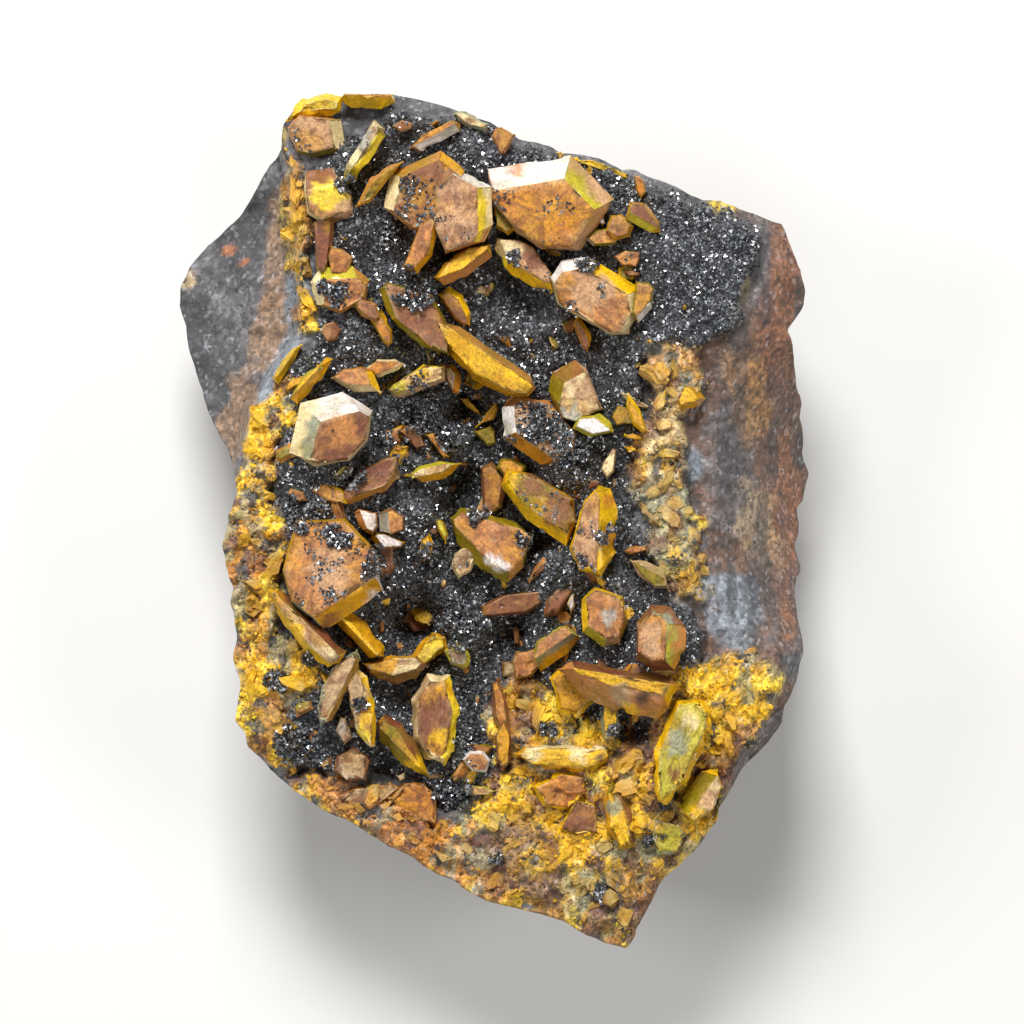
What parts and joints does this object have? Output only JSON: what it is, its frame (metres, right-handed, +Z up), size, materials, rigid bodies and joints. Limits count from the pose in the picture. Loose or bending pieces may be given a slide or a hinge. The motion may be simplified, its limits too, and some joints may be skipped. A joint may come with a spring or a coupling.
{
  "type": "sturmanite crystal specimen on matrix",
  "caption": "Dark broken ore rock with a shallow hollow lined with black druse and set with tabular hexagonal sturmanite crystals, tan to golden yellow; it lies on its flat back.",
  "frame": {"origin": "middle of the specimen's footprint, on the flat back that it lies on", "axes": "+Z up out of the crystal face, +Y to the end that the picture shows at the top, +X to the picture's right"},
  "size_m": [0.074, 0.099, 0.0346],
  "materials": {
    "dark_ore_rock": "broken granular manganese ore, grey with rust and tan coatings",
    "black_druse": "fine sparkling black crystal druse",
    "broken_sturmanite": "granular broken crystal mass, mustard yellow with grey",
    "sturmanite": "waxy to glassy crystals, brownish tan faces and golden to cream bevels"
  },
  "bodies": {
    "root": {"big_yellow_cluster": "sturmanite", "black_druse_crust": "black_druse", "box_crystal": "sturmanite", "bright_yellow_crystal": "sturmanite", "brown_gold_lens": "sturmanite", "brown_layered_plate": "sturmanite", "central_hexagon": "sturmanite", "central_wedge": "sturmanite", "cream_crystal_pair": "sturmanite", "cream_sliver": "sturmanite", "edge_yellow_bar": "sturmanite", "golden_bar_cluster": "sturmanite", "golden_blade": "sturmanite", "golden_crescent": "sturmanite", "golden_point": "sturmanite", "golden_ridge_crystal": "sturmanite", "granular_cross_ridge": "broken_sturmanite", "horizontal_bar": "sturmanite", "left_block_crystals": "sturmanite", "left_hexagon": "sturmanite", "left_olive_plates": "sturmanite", "left_orange_pair": "sturmanite", "left_rim_crumbs": "broken_sturmanite", "long_yellow_bar": "sturmanite", "lower_crumbled_mass": "broken_sturmanite", "lower_hexagon": "sturmanite", "lower_left_hexagon": "sturmanite", "lower_right_bar": "sturmanite", "matrix_rock": "dark_ore_rock", "middle_tan_plate": "sturmanite", "olive_tan_blade": "sturmanite", "olive_yellow_pair": "sturmanite", "oval_plate": "sturmanite", "pale_standing_crystal": "sturmanite", "right_hexagon_pair": "sturmanite", "rim_grey_plate": "sturmanite", "rim_tan_plate": "sturmanite", "rim_white_edged_plate": "sturmanite", "rosette_crystals": "sturmanite", "shadowed_brown_plate": "sturmanite", "small_orange_lens": "sturmanite", "small_yellow_crystal": "sturmanite", "speckled_plates": "sturmanite", "tall_crumbly_plate": "sturmanite", "tall_yellow_crystal": "sturmanite", "tan_bar_crystals": "sturmanite", "tan_faceted_pair": "sturmanite", "thin_olive_plate": "sturmanite", "top_yellow_bar": "sturmanite", "upper_hexagon_cluster": "sturmanite", "upper_left_crystals": "sturmanite", "upper_right_hexagon": "sturmanite", "upright_brown_plates": "sturmanite", "v_pair_crystals": "sturmanite", "white_dusted_crystal": "sturmanite", "white_faceted_cluster": "sturmanite", "yellow_broken_bar": "sturmanite", "yellow_cream_plate": "sturmanite", "yellow_green_lens": "sturmanite", "yellow_upright_block": "sturmanite"}
  },
  "joints": []
}
